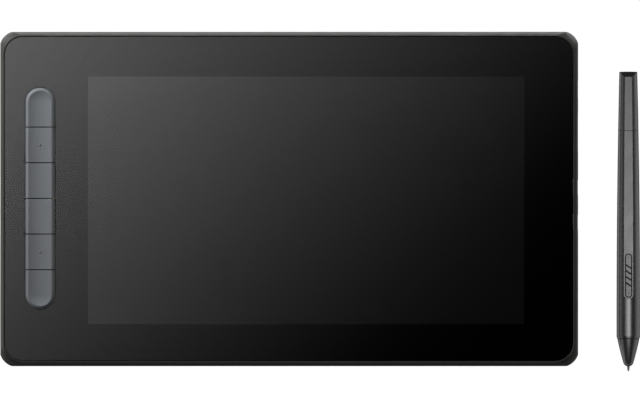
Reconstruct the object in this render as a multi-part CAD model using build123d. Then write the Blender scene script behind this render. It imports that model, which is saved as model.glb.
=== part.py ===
from build123d import *
import math
import os

# Tablet outline, over the widest part of the housing
tablet_width = 295.0
tablet_depth = 170.7
corner_cut = 5.85
corner_bulge = 0.99

# Rim that the housing shows round the glass
rim_left = 2.2
rim_right = 2.7
rim_near = 2.8
rim_far = 2.45
rim_groove = 0.25
lip_width = 0.35
glass_corner_radius = 9.4

# Form of the housing side, from the underside up to the lip
underside_inset = 4.2
turn_inset = 1.3
turn_rise = 1.3
flank_inset = 0.25
flank_rise = 3.3
corner_softness_shares = (1.0, 0.6, 0.15, 0.0, 0.35)
widest_rise = 5.1
shoulder_inset = 0.75
shoulder_drop = 1.3

# Tray floor, its ribs and the feet
foot_stand = 0.9
foot_recess = 0.5
foot_length = 40.0
foot_width = 8.5
foot_from_side = 49.5
foot_from_edge = 10.65
foot_clearance = 0.1
floor_thickness = 1.5
floor_chamfer = 1.6
rib_height = 1.5
rib_thickness = 1.0
wall_rib_depth = 1.8
long_wall_rib_count = 8
short_wall_rib_count = 5
lengthwise_rib_shares = (-0.375, -0.125, 0.125, 0.375)
crosswise_rib_shares = (-0.45, -0.3, -0.15, 0.0, 0.15, 0.3, 0.45)

# Display, as its picture area is seen through the glass
picture_from_left = 44.84
picture_from_right = 27.56
picture_from_near = 21.5
picture_from_far = 22.9
panel_margin = 2.5
panel_margin_near = 4.0

# Layers, from the pads on the ribs up to the glass
foam_thickness = 0.7
shield_thickness = 0.3
digitizer_thickness = 0.6
tray_floor_thickness = 0.4
reflector_thickness = 0.15
light_guide_thickness = 1.0
diffuser_thickness = 0.4
panel_thickness = 1.1
bond_thickness = 0.25
print_thickness = 0.1
glass_thickness = 1.0
glass_edge_break = 0.2
tape_thickness = 0.2
foam_width = 6.0
tray_lip = 0.4
tray_wall = 0.9
layer_clearance = 0.2
led_strip_width = 0.9
print_setback = 0.1

# Inner frame that carries the glass edge
frame_gap = 0.15
frame_window_gap = 0.4
post_radius = 2.5
boss_radius = 3.0
boss_height = 1.9
seat_gap = 0.1

# Screws
case_screw_radius = 0.95
case_screw_length = 5.2
case_screw_head_radius = 1.8
case_screw_head_height = 0.9
case_screws_apart = 26.0
board_screw_radius = 0.7
board_screw_head_radius = 1.4
board_screw_head_height = 0.8
board_screw_bite = 1.1
screw_clearance = 0.15
thread_clearance = 0.05

# Key bank in the left border
key_count = 6
key_bank_width = 14.8
key_bank_from_left = 20.4
key_bank_from_near = 29.2
key_bank_from_far = 28.6
end_key_extra = 1.85
key_gap = 0.5
key_side_gap = 0.5
key_rise = 0.8
key_bevel = 1.5
key_bevel_drop = 0.7
key_bevel_shares = (0.53, 0.45)
key_dish = 0.75
key_dish_share = 0.75
key_wall = 1.2
key_flange = 0.8
key_flange_thickness = 0.7
key_flange_gap = 0.1
key_plunger_radius = 0.9
key_dot_radius = 0.55
key_dot_rise = 0.4
marked_keys = (2, 5)

# Circuit boards and what stands on them
standoff_height = 0.5
standoff_radius = 1.8
board_thickness = 0.8
board_corner = 1.0
key_board_width = 16.0
key_board_end_gap = 1.5
main_board_near_share = -0.211
main_board_far_share = 0.387
main_board_edge_gap = 2.4
main_board_inner_gap = 3.81
board_screw_setback = 4.0
switch_side = 4.5
key_switch_height = 1.5
switch_bore = 1.1
switch_bore_depth = 0.8
plunger_entry = 0.1
connector_depth = 3.4
connector_height = 1.2
connector_margin = 0.8
ribbon_thickness = 0.12
ribbon_bend = 0.3
ribbon_reach = 1.6
ribbon_side_gap = 0.5
display_ribbon_width = 20.0
sensor_ribbon_width = 12.0
key_ribbon_width = 8.0
chip_height = 0.9
chip_gap = 0.6
chip_shares = ((-0.34, 1.0, 0.06), (-0.16, 1.0, 0.09), (0.1, 0.85, 0.05), (0.21, 0.85, 0.06))

# Sockets and buttons in the right edge, their places as shares of the tablet's depth
socket_width = 8.94
socket_height = 3.26
socket_depth = 7.3
socket_wall = 0.3
socket_back = 0.4
socket_setback = 0.45
socket_gap = 0.3
socket_headroom = 0.24
socket_place_shares = (0.035, -0.07)
tongue_width = 6.7
tongue_thickness = 0.7
tongue_length = 6.1
button_height = 2.6
button_gap = 0.25
button_setback = 0.2
button_flange = 1.0
button_flange_thickness = 0.7
button_stem_radius = 0.7
power_button_length = 9.0
power_button_share = 0.328
rocker_bar_length = 20.0
rocker_bar_share = 0.2
rocker_bar_side_gap = 0.4
rocker_bar_reach = 7.0
trunnion_radius = 0.5
trunnion_from_wall = 1.05
lug_radius = 1.05
running_clearance = 0.05
edge_switch_depth = 3.7
edge_switch_height = 2.9
edge_switch_setback = 0.35
light_pipe_radius = 0.6
light_pipe_from_button = 9.0
light_pipe_inner_length = 1.6

# Pen beside the tablet
pen_gap = 19.6
pen_overhang = 2.6
pen_length = 153.0
grip_radius = 6.03
cap_end_radius = 4.6
barrel_bulge = 0.42
nose_height = 16.4
grip_from_nose = 1.6
nose_radius = 5.66
nose_step = 0.05
nose_seam = 0.35
seam_depth = 0.5
cap_length = 30.3
cap_seam = 0.2
cap_crown = 0.35
cap_edge = 0.5
facet_length = 2.7
facet_drop = 2.6
barrel_bore_radius = 3.4
cap_bore_radius = 2.9
cap_end_wall = 3.5
spigot_length = 5.0
spigot_wall = 0.9
spigot_gap = 0.05

# Flat strip let into the top of the pen
strip_chord_share = 0.4
strip_thickness = 0.6
strip_side_gap = 0.1
strip_start = 36.8
strip_end_gap = 0.1

# Nose cone and the tip inside it
cone_shoulder_height = 12.6
cone_shoulder_radius = 4.76
cone_neck_height = 4.3
cone_neck_radius = 2.6
cone_mouth_height = 2.66
cone_mouth_radius = 1.15
cone_spigot_length = 1.0
cone_wall = 1.15
cone_cavity_height = 4.9
nib_bore_radius = 0.95
nib_radius = 0.75
nib_point_radius = 0.5
nib_point_shares = (0.7, 0.3)
nib_fit = 0.01
nib_taper_height = 2.4
nib_length = 24.5
nib_travel = 0.6
core_radius = 1.6
core_bore_radius = 1.0
core_start = 6.0
core_length = 12.0
coil_radius = 2.3
coil_start = 8.5
coil_length = 6.0

# Rocker in the pen's strip
pen_rocker_length = 21.5
pen_rocker_width = 2.6
pen_rocker_middle = 48.8
pen_rocker_gap = 0.5
pen_rocker_rise = 0.6
pen_rocker_crown = 0.2
pen_rocker_bottom = 3.1
pen_pin_radius = 0.5
pen_pin_length = 6.0
pen_pin_depth = 3.9
pen_plunger_radius = 0.6
pen_plunger_reach = 8.0
slash_width = 1.0
slash_depth = 0.6
slash_pitch = 3.05
slash_angle = -35.0
slash_count = 4
rocker_dot_radius = 0.4
rocker_dot_depth = 0.5
rocker_dot_setback = 1.75

# What the pen holds inside
chassis_gap = 0.1
chassis_ring_end = 36.5
chassis_ring_bore = 2.1
chassis_flat = 0.6
holder_radius = 1.6
holder_start = 22.0
holder_length = 6.0
holder_plunger_radius = 0.7
holder_plunger_length = 1.2
sensor_radius = 2.0
sensor_gap = 0.9
sensor_length = 6.0
pen_board_width = 5.4
pen_board_thickness = 0.8
pen_board_start = 39.0
pen_board_end_gap = 2.75
pen_switch_side = 3.0
pen_switch_height = 1.4
pen_switch_bore = 0.85
pen_switch_bore_depth = 0.7

# Length by which every cut runs past the piece that it cuts
overrun = 1.0

# Heights above the desk that follow from the layers
shell_bottom = foot_stand
floor_top = shell_bottom + floor_thickness
recess_top = shell_bottom + foot_recess
rib_top = floor_top + rib_height
shield_bottom = rib_top + foam_thickness
digitizer_bottom = shield_bottom + shield_thickness
tray_bottom = digitizer_bottom + digitizer_thickness
reflector_bottom = tray_bottom + tray_floor_thickness
light_guide_bottom = reflector_bottom + reflector_thickness
diffuser_bottom = light_guide_bottom + light_guide_thickness
panel_bottom = diffuser_bottom + diffuser_thickness
panel_top = panel_bottom + panel_thickness
print_bottom = panel_top + bond_thickness
glass_bottom = print_bottom + print_thickness
glass_top = glass_bottom + glass_thickness
board_bottom = floor_top + standoff_height
board_top = board_bottom + board_thickness
side_middle = board_top + socket_height / 2
frame_bottom = board_top + socket_height + socket_headroom
frame_top = print_bottom - tape_thickness
boss_top = floor_top + boss_height

# Edges of the glass, the pocket and the display, from the tablet's middle
glass_left = -tablet_width / 2 + rim_left
glass_right = tablet_width / 2 - rim_right
glass_near = -tablet_depth / 2 + rim_near
glass_far = tablet_depth / 2 - rim_far
pocket_left = glass_left - rim_groove
pocket_right = glass_right + rim_groove
pocket_near = glass_near - rim_groove
pocket_far = glass_far + rim_groove
pocket_radius = glass_corner_radius + rim_groove
picture_left = -tablet_width / 2 + picture_from_left
picture_right = tablet_width / 2 - picture_from_right
picture_near = -tablet_depth / 2 + picture_from_near
picture_far = tablet_depth / 2 - picture_from_far
picture_width = picture_right - picture_left
picture_depth = picture_far - picture_near
picture_middle_x = (picture_left + picture_right) / 2
picture_middle_y = (picture_near + picture_far) / 2
panel_left = picture_left - panel_margin
panel_right = picture_right + panel_margin
panel_near = picture_near - panel_margin_near
panel_far = picture_far + panel_margin
tray_left = panel_left - tray_lip
tray_right = panel_right + tray_lip
tray_near = panel_near - tray_lip
tray_far = panel_far + tray_lip

# Key bank, key board and main board, from the tablet's middle
key_x = -tablet_width / 2 + key_bank_from_left
key_y = (key_bank_from_near - key_bank_from_far) / 2
key_bank_length = tablet_depth - key_bank_from_near - key_bank_from_far
key_pitch = (key_bank_length - 2 * end_key_extra) / key_count
key_opening_width = key_bank_width + 2 * key_side_gap
key_opening_length = key_bank_length + 2 * key_side_gap
key_board_right = key_x + key_board_width / 2
main_board_left = tray_right + main_board_inner_gap
main_board_right = pocket_right - main_board_edge_gap
main_board_near = main_board_near_share * tablet_depth
main_board_far = main_board_far_share * tablet_depth
main_board_length = main_board_far - main_board_near
side_face = tablet_width / 2
socket_places = [share * tablet_depth for share in socket_place_shares]
power_button_place = power_button_share * tablet_depth
rocker_bar_place = rocker_bar_share * tablet_depth

# Ribbons and screws along the inner edge of the main board
key_ribbon_y = key_y
key_connector_half = key_ribbon_width / 2 + connector_margin
near_board_screw_y = main_board_near + board_screw_setback
middle_board_screw_y = key_ribbon_y + key_connector_half + board_screw_setback
far_board_screw_y = main_board_far - board_screw_setback
sensor_ribbon_y = (near_board_screw_y + key_ribbon_y - key_connector_half) / 2
display_ribbon_y = (middle_board_screw_y + far_board_screw_y) / 2

# Place of the tablet and the pen about the middle of the set on the desk
set_width = tablet_width + pen_gap + 2 * grip_radius
tablet_x = -set_width / 2 + tablet_width / 2
tablet_y = pen_overhang / 2
pen_x = set_width / 2 - grip_radius
pen_tip_y = -tablet_depth / 2 - pen_overhang / 2
cap_height = pen_length - cap_length
grip_height = nose_height + grip_from_nose
chassis_ring_start = nose_height + cone_spigot_length
barrel_length = pen_length - grip_height
barrel_lean = math.degrees(math.atan2(grip_radius - cap_end_radius, barrel_length))


def slab(left, right, near, far, low, high, radius=None):
    """An upright plate between four sides, with its corners rounded if a radius is given."""
    if radius is None:
        outline = Rectangle(right - left, far - near)
    else:
        outline = RectangleRounded(right - left, far - near, radius)
    return Pos((left + right) / 2, (near + far) / 2, low) * extrude(outline, amount=high - low)


def block(x, y, width, depth, low, high):
    """An upright block about a middle point."""
    return slab(x - width / 2, x + width / 2, y - depth / 2, y + depth / 2, low, high)


def disc(radius, low, high, x=0, y=0):
    """An upright cylinder between two heights."""
    return Pos(x, y, low) * extrude(Circle(radius), amount=high - low)


def upright_obround(x, y, width, length, low, high):
    """An upright plate with round ends, long in the depth of the tablet."""
    return Pos(x, y, low) * extrude(SlotOverall(length, width, rotation=90), amount=high - low)


def sideways(profile, start, end, y, z):
    """A bar of the given section that runs to the right, through the tablet's side."""
    plane = Plane(origin=(start, y, z), x_dir=(0, 1, 0), z_dir=(1, 0, 0))
    return extrude(plane * profile, amount=end - start)


def group(pieces):
    """Separate solids kept together as one named piece."""
    return Compound([solid for piece in pieces for solid in piece.solids()])


def save(name, shape):
    export_step(shape, f"parts/{name}.step")


# Housing outline

def bowed_outline(left, right, near, far, cut, bulge, height):
    """A level face with straight sides, joined by corner arcs that start at the given cut."""
    inward = cut / 2 - bulge / math.sqrt(2)
    arcs = []
    for x, y, side_x, side_y in ((right, far, 1, 1), (left, far, -1, 1),
                                 (left, near, -1, -1), (right, near, 1, -1)):
        on_side = (x, y - side_y * cut, height)
        on_end = (x - side_x * cut, y, height)
        middle = (x - side_x * inward, y - side_y * inward, height)
        start, end = (on_side, on_end) if side_x * side_y > 0 else (on_end, on_side)
        arcs.append(ThreePointArc(start, middle, end))
    edges = []
    for arc, following in zip(arcs, arcs[1:] + arcs[:1]):
        edges += [arc, Line(arc @ 1, following @ 0)]
    return make_face(edges)


def housing_level(inset, rise, softness_share):
    """One level of the housing side, rounder at the corners the softer it is."""
    soft_radius = glass_corner_radius
    soft_bulge = soft_radius * (1 - 1 / math.sqrt(2))
    cut = corner_cut + softness_share * (soft_radius - corner_cut)
    bulge = corner_bulge + softness_share * (soft_bulge - corner_bulge)
    half_width = tablet_width / 2 - inset
    half_depth = tablet_depth / 2 - inset
    return bowed_outline(-half_width, half_width, -half_depth, half_depth, cut, bulge,
                         shell_bottom + rise)


def housing_form():
    """The closed outer form: turned in below, widest at two thirds, sloped in to the lip."""
    lip_out = rim_groove + lip_width
    lip_radius = glass_corner_radius + lip_out
    lip = bowed_outline(glass_left - lip_out, glass_right + lip_out, glass_near - lip_out,
                        glass_far + lip_out, lip_radius, lip_radius * (1 - 1 / math.sqrt(2)),
                        glass_top)
    shoulder_rise = glass_top - shell_bottom - shoulder_drop
    insets = (underside_inset, turn_inset, flank_inset, 0, shoulder_inset)
    rises = (0, turn_rise, flank_rise, widest_rise, shoulder_rise)
    levels = [housing_level(inset, rise, share)
              for inset, rise, share in zip(insets, rises, corner_softness_shares)]
    return loft(levels + [lip])


def spread(start, end, count):
    """Evenly spaced places, one at each end."""
    return [start + (end - start) * step / (count - 1) for step in range(count)]


def foot_places():
    x = tablet_width / 2 - foot_from_side
    y = tablet_depth / 2 - foot_from_edge
    return {"foot_front_left": (-x, -y), "foot_front_right": (x, -y),
            "foot_rear_left": (-x, y), "foot_rear_right": (x, y)}


def case_screw_places():
    return [(x + side * case_screws_apart / 2, y)
            for x, y in foot_places().values() for side in (-1, 1)]


def key_board_screw_places():
    return [(key_x, key_y + side * 2 * key_pitch) for side in (-1, 1)]


def main_board_screw_places():
    x = main_board_left + board_screw_head_radius + board_corner
    return [(x, near_board_screw_y), (x, middle_board_screw_y), (x, far_board_screw_y)]


def foot_slot(clearance, low, high, x, y):
    outline = SlotOverall(foot_length + 2 * clearance, foot_width + 2 * clearance)
    return Pos(x, y, low) * extrude(outline, amount=high - low)


def tray_pocket():
    """The hollow of the tray, as wide as the glass and its groove, with a chamfered floor."""
    pocket = slab(pocket_left, pocket_right, pocket_near, pocket_far, floor_top,
                  glass_top + overrun, pocket_radius)
    return chamfer(pocket.faces().sort_by(Axis.Z)[0].edges(), floor_chamfer)


def floor_ribs():
    """A grid of low ribs under the display, and upright ribs round the wall for the frame."""
    left = tray_left + foam_width / 2
    right = tray_right - foam_width / 2
    near = tray_near + foam_width / 2
    far = tray_far - foam_width / 2
    ribs = []
    for share in lengthwise_rib_shares:
        y = picture_middle_y + share * picture_depth
        ribs.append(slab(left, right, y - rib_thickness / 2, y + rib_thickness / 2,
                         floor_top, rib_top))
    for share in crosswise_rib_shares:
        x = picture_middle_x + share * picture_width
        ribs.append(slab(x - rib_thickness / 2, x + rib_thickness / 2, near, far,
                         floor_top, rib_top))
    for x in spread(pocket_left + 2 * pocket_radius, pocket_right - 2 * pocket_radius,
                    long_wall_rib_count):
        for wall, inner in ((pocket_far, pocket_far - wall_rib_depth),
                            (pocket_near + wall_rib_depth, pocket_near)):
            ribs.append(slab(x - rib_thickness / 2, x + rib_thickness / 2, inner, wall,
                             floor_top, frame_bottom))
    for y in spread(pocket_near + 2 * pocket_radius, pocket_far - 2 * pocket_radius,
                    short_wall_rib_count):
        ribs.append(slab(pocket_left, pocket_left + wall_rib_depth, y - rib_thickness / 2,
                         y + rib_thickness / 2, floor_top, frame_bottom))
    rib_y = main_board_near - 2 * wall_rib_depth
    ribs.append(slab(pocket_right - wall_rib_depth, pocket_right, rib_y - rib_thickness,
                     rib_y, floor_top, frame_bottom))
    return ribs


def rocker_bar_lugs():
    """Two lugs on the right wall, below and above the brightness rocker."""
    x = pocket_right - trunnion_from_wall
    y = rocker_bar_place
    lower_top = side_middle - button_height / 2 - seat_gap
    upper_bottom = side_middle + button_height / 2 + seat_gap
    lugs = []
    for low, high in ((floor_top, lower_top), (upper_bottom, frame_bottom)):
        lugs.append(disc(lug_radius, low, high, x, y))
        lugs.append(slab(x, pocket_right, y - lug_radius, y + lug_radius, low, high))
    return lugs


def side_openings():
    """Cuts through the right wall for the two sockets, the buttons and the light pipe."""
    start = pocket_right - overrun
    end = side_face + overrun
    cuts = []
    for place in socket_places:
        outline = SlotOverall(socket_width + 2 * socket_gap, socket_height + 2 * socket_gap)
        cuts.append(sideways(outline, start, end, place, side_middle))
    power = SlotOverall(power_button_length + 2 * button_gap, button_height + 2 * button_gap)
    cuts.append(sideways(power, pocket_right - overrun, end, power_button_place, side_middle))
    bar = SlotOverall(rocker_bar_length + 2 * rocker_bar_side_gap,
                      button_height + 2 * button_gap)
    cuts.append(sideways(bar, pocket_right, end, rocker_bar_place, side_middle))
    pipe = Circle(light_pipe_radius + running_clearance)
    cuts.append(sideways(pipe, start, end, power_button_place + light_pipe_from_button,
                         side_middle))
    return cuts


def rear_shell():
    """Moulded tray: sloped rim, ribbed floor, screw bosses, foot recesses, side openings."""
    shell = housing_form() - tray_pocket()
    added = floor_ribs() + rocker_bar_lugs()
    for x, y in case_screw_places():
        added.append(disc(boss_radius, floor_top, boss_top, x, y))
    for x, y in key_board_screw_places() + main_board_screw_places():
        added.append(disc(standoff_radius, floor_top, board_bottom, x, y))
    shell = shell + added
    cuts = side_openings()
    for x, y in foot_places().values():
        cuts.append(foot_slot(foot_clearance, shell_bottom - overrun, recess_top, x, y))
    hole_radius = case_screw_radius + screw_clearance
    for x, y in case_screw_places():
        cuts.append(disc(hole_radius, recess_top, boss_top + overrun, x, y))
        cuts.append(Pos(x, y, recess_top) * Cone(
            case_screw_head_radius + screw_clearance, hole_radius, case_screw_head_height,
            align=(Align.CENTER, Align.CENTER, Align.MIN)))
    thread_bottom = board_bottom - board_screw_bite - thread_clearance
    for x, y in key_board_screw_places() + main_board_screw_places():
        cuts.append(disc(board_screw_radius + thread_clearance, thread_bottom,
                         board_bottom + overrun, x, y))
    trunnion_x = pocket_right - trunnion_from_wall
    cuts.append(disc(trunnion_radius + running_clearance, floor_top, frame_bottom + overrun,
                     trunnion_x, rocker_bar_place))
    return shell - cuts


# Glass and the frame under it

def cover_glass():
    """One sheet with softened edges and an obround opening for the keys."""
    sheet = slab(glass_left, glass_right, glass_near, glass_far, glass_bottom, glass_top,
                 glass_corner_radius)
    sheet = chamfer(sheet.faces().sort_by(Axis.Z)[-1].edges(), glass_edge_break)
    return sheet - upright_obround(key_x, key_y, key_opening_width, key_opening_length,
                                   glass_bottom - overrun, glass_top + overrun)


def border_print():
    """Opaque print on the underside of the glass, open at the picture and at the keys."""
    edge = print_setback
    film = slab(glass_left + edge, glass_right - edge, glass_near + edge, glass_far - edge,
                print_bottom, glass_bottom, glass_corner_radius - edge)
    picture = slab(picture_left, picture_right, picture_near, picture_far,
                   print_bottom - overrun, glass_bottom + overrun)
    keys = upright_obround(key_x, key_y, key_opening_width + 2 * edge,
                           key_opening_length + 2 * edge, print_bottom - overrun,
                           glass_bottom + overrun)
    return film - [picture, keys]


def frame_openings(low, high):
    """Openings for the display, its ribbon and the keys, through the frame and its tape."""
    gap = frame_window_gap
    display = slab(tray_left - gap, tray_right + gap, tray_near - gap, tray_far + gap, low, high)
    half = display_ribbon_width / 2 + ribbon_side_gap
    relief = slab(tray_right, tray_right + 2 * ribbon_reach, display_ribbon_y - half,
                  display_ribbon_y + half, low, high)
    keys = upright_obround(key_x, key_y, key_opening_width, key_opening_length, low, high)
    return [display, relief, keys]


def support_frame():
    """Moulded frame with windows, and posts down to the screw bosses of the tray."""
    gap = frame_gap
    plate = slab(pocket_left + gap, pocket_right - gap, pocket_near + gap, pocket_far - gap,
                 frame_bottom, frame_top, pocket_radius - gap)
    frame = plate - frame_openings(frame_bottom - overrun, frame_top + overrun)
    post_bottom = boss_top + seat_gap
    for x, y in case_screw_places():
        frame += disc(post_radius, post_bottom, frame_bottom, x, y)
    pilot_radius = case_screw_radius + thread_clearance
    pilot_top = recess_top + case_screw_length + seat_gap + thread_clearance
    for x, y in case_screw_places():
        frame -= disc(pilot_radius, post_bottom - overrun, pilot_top, x, y)
    return frame


def frame_tape():
    """Adhesive between the frame and the printed glass."""
    edge = print_setback + frame_gap
    tape = slab(pocket_left + edge, pocket_right - edge, pocket_near + edge, pocket_far - edge,
                frame_top, print_bottom, pocket_radius - edge)
    return tape - frame_openings(frame_top - overrun, print_bottom + overrun)


# Display, its backlight and the pen sensor below it

def optical_bond():
    edge = layer_clearance
    layer = slab(panel_left + edge, panel_right - edge, panel_near + edge, panel_far - edge,
                 panel_top, print_bottom)
    return layer + slab(picture_left, picture_right, picture_near, picture_far,
                        print_bottom, glass_bottom)


def display_layers():
    """The panel and the sheets of its backlight, from the top down, by name."""
    edge = tray_wall + layer_clearance
    left, right = tray_left + edge, tray_right - edge
    near, far = tray_near + edge, tray_far - edge
    guide_near = near + led_strip_width + layer_clearance
    return {
        "lcd_panel": slab(panel_left, panel_right, panel_near, panel_far,
                          panel_bottom, panel_top),
        "diffuser_films": slab(left, right, near, far, diffuser_bottom, panel_bottom),
        "light_guide": slab(left, right, guide_near, far, light_guide_bottom,
                            diffuser_bottom),
        "led_strip": slab(left, right, near, near + led_strip_width, light_guide_bottom,
                          diffuser_bottom),
        "reflector_sheet": slab(left, right, near, far, reflector_bottom,
                                light_guide_bottom),
        "digitizer_board": slab(tray_left, tray_right, tray_near, tray_far,
                                digitizer_bottom, tray_bottom),
        "shield_plate": slab(tray_left, tray_right, tray_near, tray_far, shield_bottom,
                             digitizer_bottom),
    }


def backlight_tray():
    """Shallow metal tray whose walls carry the edge of the panel."""
    tray = slab(tray_left, tray_right, tray_near, tray_far, tray_bottom, panel_bottom)
    return tray - slab(tray_left + tray_wall, tray_right - tray_wall, tray_near + tray_wall,
                       tray_far - tray_wall, reflector_bottom, panel_bottom + overrun)


def foam_pads():
    """Strips of foam along the lengthwise ribs."""
    pads = []
    for share in lengthwise_rib_shares:
        y = picture_middle_y + share * picture_depth
        pads.append(slab(tray_left + foam_width, tray_right - foam_width, y - foam_width / 2,
                         y + foam_width / 2, rib_top, shield_bottom))
    return group(pads)


# Keys, one bank cut into six

def key_bank_section():
    """Right half of the bank's section: dished top, rounded bevel, straight skirt."""
    half = key_bank_width / 2
    crest = glass_top + key_rise
    bevel_x = half - key_bevel
    shoulder = crest - key_bevel_drop
    skirt = frame_bottom - key_flange_gap
    dish = ThreePointArc((0, 0, crest - key_dish),
                         (bevel_x / 2, 0, crest - key_dish_share * key_dish),
                         (bevel_x, 0, crest))
    along_share, down_share = key_bevel_shares
    bevel = ThreePointArc((bevel_x, 0, crest),
                          (bevel_x + along_share * key_bevel, 0,
                           crest - down_share * key_bevel_drop),
                          (half, 0, shoulder))
    lines = Polyline((half, 0, shoulder), (half, 0, skirt), (0, 0, skirt),
                     (0, 0, crest - key_dish))
    return make_face([dish, bevel, lines])


def key_bank():
    """The whole obround bank as one bar with a flange below, before it is cut into keys."""
    half_face = key_bank_section()
    straight = key_bank_length - key_bank_width
    side = Pos(0, straight / 2, 0) * extrude(half_face, amount=straight, dir=(0, -1, 0))
    end = revolve(half_face, Axis.Z, 180)
    bar = side + mirror(side, about=Plane.YZ)
    bar += Pos(0, straight / 2, 0) * end
    bar += Pos(0, -straight / 2, 0) * Rot(0, 0, 180) * end
    skirt = frame_bottom - key_flange_gap
    bar += upright_obround(0, 0, key_opening_width + 2 * key_flange,
                           key_opening_length + 2 * key_flange,
                           skirt - key_flange_thickness, skirt)
    ceiling = glass_bottom - print_thickness
    hollow = upright_obround(0, 0, key_bank_width - 2 * key_wall,
                             key_bank_length - 2 * key_wall,
                             skirt - key_flange_thickness - overrun, ceiling)
    return bar, hollow, ceiling


def key_edges():
    """Places of the cuts between the keys, with the two ends of the bank."""
    half = (key_count - 2) * key_pitch / 2
    reach = key_bank_length / 2 + key_side_gap + key_flange + key_gap
    inner = [-half + step * key_pitch for step in range(key_count - 1)]
    return [-reach] + inner + [reach]


def key_middles():
    """Middle of each key along the bank, from the near end."""
    ends = key_edges()
    ends[0] = -key_bank_length / 2
    ends[-1] = key_bank_length / 2
    return [(low + high) / 2 for low, high in zip(ends, ends[1:])]


def keys():
    """Six caps with a plunger each, dots on the marked ones, in their place by name."""
    bar, hollow, ceiling = key_bank()
    edges = key_edges()
    reach = key_bank_width
    bar = bar - [slab(-reach, reach, place - key_gap / 2, place + key_gap / 2, floor_top,
                      glass_top + key_rise + overrun) for place in edges[1:-1]]
    plunger_bottom = board_top + key_switch_height - plunger_entry
    caps = {}
    for index, middle in enumerate(key_middles()):
        low, high = edges[index], edges[index + 1]
        window = slab(-reach, reach, low, high, floor_top, glass_top + key_rise + overrun)
        inner = slab(-reach, reach, low + key_gap / 2 + key_wall, high - key_gap / 2 - key_wall,
                     floor_top, glass_top)
        cap = (bar & window) - (hollow & inner)
        cap += disc(key_plunger_radius, plunger_bottom, ceiling + overrun / 2, 0, middle)
        number = key_count - index
        if number in marked_keys:
            dish_floor = glass_top + key_rise - key_dish
            dot_drop = (key_dot_radius ** 2 - key_dot_rise ** 2) / (2 * key_dot_rise)
            ball_radius = key_dot_rise + dot_drop
            cap += Pos(0, middle, dish_floor - dot_drop) * Sphere(ball_radius)
        caps[f"key_{number}"] = Pos(key_x, key_y, 0) * cap
    return caps


def key_switches():
    """One switch under each key, open at the top where the plunger enters."""
    top = board_top + key_switch_height
    switches = []
    for middle in key_middles():
        y = key_y + middle
        body = block(key_x, y, switch_side, switch_side, board_top, top)
        switches.append(body - disc(switch_bore, top - switch_bore_depth, top + overrun,
                                    key_x, y))
    return group(switches)


# Circuit boards, connectors and ribbons

def board_screws(places):
    """Pan-head screws through a board into the bosses under it."""
    screws = []
    for x, y in places:
        screws.append(disc(board_screw_head_radius, board_top,
                           board_top + board_screw_head_height, x, y)
                      + disc(board_screw_radius, board_bottom - board_screw_bite, board_top,
                             x, y))
    return group(screws)


def board(left, right, near, far, places):
    plate = slab(left, right, near, far, board_bottom, board_top, board_corner)
    radius = board_screw_radius + screw_clearance
    return plate - [disc(radius, board_bottom - overrun, board_top + overrun, x, y)
                    for x, y in places]


def key_switch_board():
    half = key_bank_length / 2 - key_board_end_gap
    return board(key_x - key_board_width / 2, key_board_right, key_y - half, key_y + half,
                 key_board_screw_places())


def main_board():
    return board(main_board_left, main_board_right, main_board_near, main_board_far,
                 main_board_screw_places())


def board_chips():
    """Packages in the middle of the main board, between its connectors and its switches."""
    left = connector_left() + connector_depth + chip_gap
    right = switch_face() - edge_switch_depth - chip_gap
    middle = (main_board_near + main_board_far) / 2
    chips = []
    for place_share, width_share, length_share in chip_shares:
        chips.append(block((left + right) / 2, middle + place_share * main_board_length,
                           width_share * (right - left), length_share * main_board_length,
                           board_top, board_top + chip_height))
    return group(chips)


def connector_left():
    return main_board_left + connector_margin


def key_connector_right():
    return key_board_right - connector_margin


def flex_connectors():
    """Ribbon connectors: three on the main board, one on the key board."""
    pieces = []
    for y, width in ((display_ribbon_y, display_ribbon_width),
                     (sensor_ribbon_y, sensor_ribbon_width),
                     (key_ribbon_y, key_ribbon_width)):
        pieces.append(block(connector_left() + connector_depth / 2, y, connector_depth,
                            width + 2 * connector_margin, board_top,
                            board_top + connector_height))
    pieces.append(block(key_connector_right() - connector_depth / 2, key_ribbon_y,
                        connector_depth, key_ribbon_width + 2 * connector_margin, board_top,
                        board_top + connector_height))
    return group(pieces)


def folded_ribbon(start_height, y, width):
    """A ribbon that leaves the display to the right, folds down and runs to its connector."""
    end_height = board_top + connector_height / 2
    turn = tray_right + ribbon_reach
    start = panel_right if start_height > panel_bottom else tray_right
    line = FilletPolyline((start, 0, start_height), (turn, 0, start_height),
                          (turn, 0, end_height), (connector_left(), 0, end_height),
                          radius=ribbon_bend)
    flat = [Plane.XZ.to_local_coords(edge) for edge in line.edges()]
    section = Plane.XZ * trace(flat, ribbon_thickness)
    return Pos(0, y + width / 2, 0) * extrude(section, amount=width, dir=(0, -1, 0))


def ribbons():
    key_run = slab(key_connector_right(), connector_left(), key_ribbon_y - key_ribbon_width / 2,
                   key_ribbon_y + key_ribbon_width / 2, rib_top, rib_top + ribbon_thickness)
    return {
        "lcd_flex": folded_ribbon((panel_bottom + panel_top) / 2, display_ribbon_y,
                                  display_ribbon_width),
        "digitizer_flex": folded_ribbon((digitizer_bottom + tray_bottom) / 2,
                                        sensor_ribbon_y, sensor_ribbon_width),
        "key_board_flex": key_run,
    }


# Right edge of the tablet

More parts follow.
